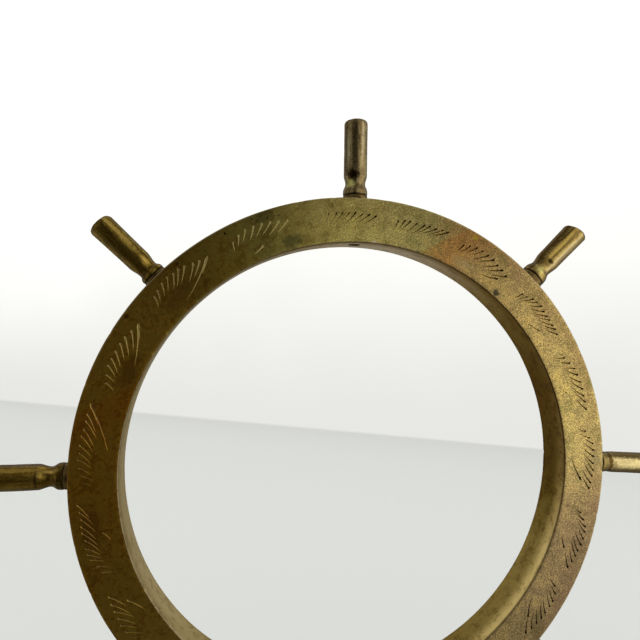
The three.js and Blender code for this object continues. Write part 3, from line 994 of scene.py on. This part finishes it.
def build_small_material(name, brass, dark, metallic, scale, rough_low, rough_high, crevice_grime_and_shade):
    """Collars, studs and the walls of the holes."""
    material, sh, surface = new_material(name)
    place = sh.place_mm()
    patchy = sh.noise(place, scale, 5, 0.65, 0.3)
    grainy = sh.noise(place, scale * 4, 3, 0.7)
    colour = sh.blend(brass, dark, sh.rise(patchy, 0.38, 0.66))
    # Grime and painted shade in the corners, found by ambient occlusion.
    colour = sh.blend(colour, CREVICE_GRIME_AND_SHADE, sh.rise(sh.crevice(0.9), 0.85, 0.35, crevice_grime_and_shade))
    rough = sh.between(grainy, 0.3, 0.7, rough_low, rough_high)
    sh.fill(surface, Base_Color=colour, Roughness=rough, Normal=sh.bump(grainy, 0.03, 0.6),
            Metallic=metallic)
    painted_grazing_shade(sh, surface)
    return material


# ------------------------------------------------ the object

# Of the small materials: bright and dark colour, how metallic, scale of the patches, the lowest and
# the highest roughness, and how much grime and painted shade lie in the corners.
HOLE_WALLS = ((0.2, 0.15, 0.06), (0.05, 0.03, 0.015), 0.9, 1.2, 0.4, 0.7, 0.9)
COLLARS = ((0.22, 0.14, 0.045), (0.08, 0.048, 0.015), 1.0, 0.9, 0.3, 0.5, 0.9)
STUDS = ((0.4, 0.4, 0.38), (0.2, 0.17, 0.13), 1.0, 0.8, 0.28, 0.5, 0.7)


def build_wheel():
    rim_brass = build_rim_material("rim_brass")
    grooves = build_rim_material("rim_grooves", 0.95)
    hole_walls = build_small_material("rim_holes", *HOLE_WALLS)
    collars = build_small_material("collar_brass", *COLLARS)
    studs = build_small_material("stud_steel", *STUDS)
    build_rim(rim_brass, grooves, hole_walls)
    for index, (name, shape) in enumerate(HANDLES.items()):
        finish = build_handle_material(name, shape, FINISHES[name], index + 1)
        build_handle(name, shape, finish, 100 + index)
        build_collar(name, shape, collars, 200 + index)
        build_stud(name, shape, studs)


build_wheel()

# ------------------------------------------------ stage

FLOOR_HEIGHT = cad_box[0].z - THREAD_DEPTH * MM  # the bottom handle, unscrewed, just reaches it
FLOOR_HALF_SIZE = 6000
WALL_NORMAL = Vector((0.586, 0.8104, 0))
WALL_DISTANCE = 0.562
WALL_HALF_LENGTH = 4
WALL_HEIGHT = 3
SCREEN_RADIUS = 420


def build_floor_material():
    """Pale to the eye; the wheel sees a darker place in front of it, where the viewer stands, and a
    painted shadow close under it.
    """
    material, sh, surface = new_material("pale_floor")
    sh.fill(surface, Base_Color=(0.74, 0.75, 0.73), Roughness=0.7)
    x, y, _ = sh.split(sh.node("NewGeometry").outputs["Position"])
    ahead = sh.tint(surroundings(sh, x, y), (0.8, 0.8, 0.8))
    seen = sh.blend(ahead, (0.6, 0.6, 0.58), sh.rise(y, -0.03, 0.12))
    # Painted shadow of the wheel on the floor, seen only in reflections: darker close under the wheel.
    seen = sh.blend((0.22, 0.22, 0.2), seen, sh.rise(sh.length(x, y), 0.04, 0.24))
    sh.show(sh.glossy_only(surface, sh.fill(sh.node("Emission"), Color=seen)))
    return material


def build_wall_material():
    """A glowing wall that stands for a lit one, with painted shade that makes it a little darker,
    unevenly, at its foot.
    """
    material, sh, surface = new_material("white_wall")
    place = sh.node("NewGeometry").outputs["Position"]
    height = sh.split(place)[2]
    cloudy = sh.centred(sh.noise(place, 3.0, 2, 0.5), 0.16)
    level = sh.between(sh.add(height, cloudy), -0.12, 0.22, 0.8, 1.05)
    sh.fill(surface, Base_Color=(0.0, 0.0, 0.0), Specular_IOR_Level=0.0,
            Emission_Color=sh.tint((1.0, 1.0, 0.965), level), Emission_Strength=1.0)
    return material


def build_stage():
    corners = ((-1, -1), (1, -1), (1, 1), (-1, 1))
    floor_points = [[x * FLOOR_HALF_SIZE, y * FLOOR_HALF_SIZE, 0] for x, y in corners]
    floor = make_object("floor", floor_points, [[0, 1, 2, 3]], build_floor_material(),
                        Matrix.Translation((0, 0, FLOOR_HEIGHT)))
    along = Vector((WALL_NORMAL.y, -WALL_NORMAL.x, 0)) * WALL_HALF_LENGTH
    left, right = WALL_NORMAL * WALL_DISTANCE - along, WALL_NORMAL * WALL_DISTANCE + along
    corners = ((left, 0), (right, 0), (right, WALL_HEIGHT), (left, WALL_HEIGHT))
    wall_points = [[at.x / MM, at.y / MM, (FLOOR_HEIGHT + height) / MM] for at, height in corners]
    wall = make_object("wall", wall_points, [[0, 1, 2, 3]], build_wall_material())
    build_screen()


def build_screen():
    """A curved screen in front of the wheel that only reflections see, so they shift with place."""
    across, up = np.meshgrid(np.radians(np.arange(-96, 97, 6)), np.radians(np.arange(-13, 80, 6)))
    points = np.stack([np.sin(across) * np.cos(up), -np.cos(across) * np.cos(up), np.sin(up)], -1)
    faces = grid_faces(*across.shape, wrap_columns=False)
    material, sh, _ = new_material("reflected_room")
    room = reflected_room(sh, sh.node("NewGeometry").outputs["Position"])
    sh.show(sh.fill(sh.node("Emission"), Color=room))
    screen = make_object("screen", points.reshape(-1, 3) * SCREEN_RADIUS, faces, material)
    screen.visible_camera = screen.visible_diffuse = screen.visible_shadow = False
    screen.visible_transmission = screen.visible_volume_scatter = False
    return screen


def build_world():
    """The eye sees a pale studio; the metal reflects a window side and the viewer's dark shape."""
    world = bpy.data.worlds.new("studio")
    scene.world = world
    world.use_nodes = True
    world.node_tree.nodes.clear()
    sh = Shader(world.node_tree)
    room = reflected_room(sh, sh.node("TexCoord").outputs["Generated"])
    felt = sh.fill(sh.node("Background"), Color=room)
    seen = sh.fill(sh.node("Background"), Color=(0.95, 0.96, 0.95))
    sh.fill(sh.node("OutputWorld"), Surface=sh.glossy_only(seen, felt).outputs[0])


build_stage()
build_world()

# ------------------------------------------------ camera

CAMERA_PLACE = Vector((-0.03784, -0.16528, 0.04188))
CAMERA_AHEAD = Vector((0.1709, 0.9853, 0))
LENS_MM = 33.06
SENSOR_MM = 36
camera_data = bpy.data.cameras.new("camera")
camera_data.lens = LENS_MM
camera_data.sensor_width = SENSOR_MM
camera_data.clip_start = 0.01
focus = bpy.data.objects.new("focus", None)
focus.location = (0, FRONT * MM, 0)
scene.collection.objects.link(focus)
camera_data.dof.use_dof = True
camera_data.dof.focus_object = focus
camera_data.dof.aperture_fstop = 32
camera = bpy.data.objects.new("camera", camera_data)
camera.location = CAMERA_PLACE
camera.rotation_mode = "QUATERNION"
camera.rotation_quaternion = CAMERA_AHEAD.to_track_quat("-Z", "Y")
scene.collection.objects.link(camera)
scene.camera = camera
scene.view_settings.view_transform = "Standard"
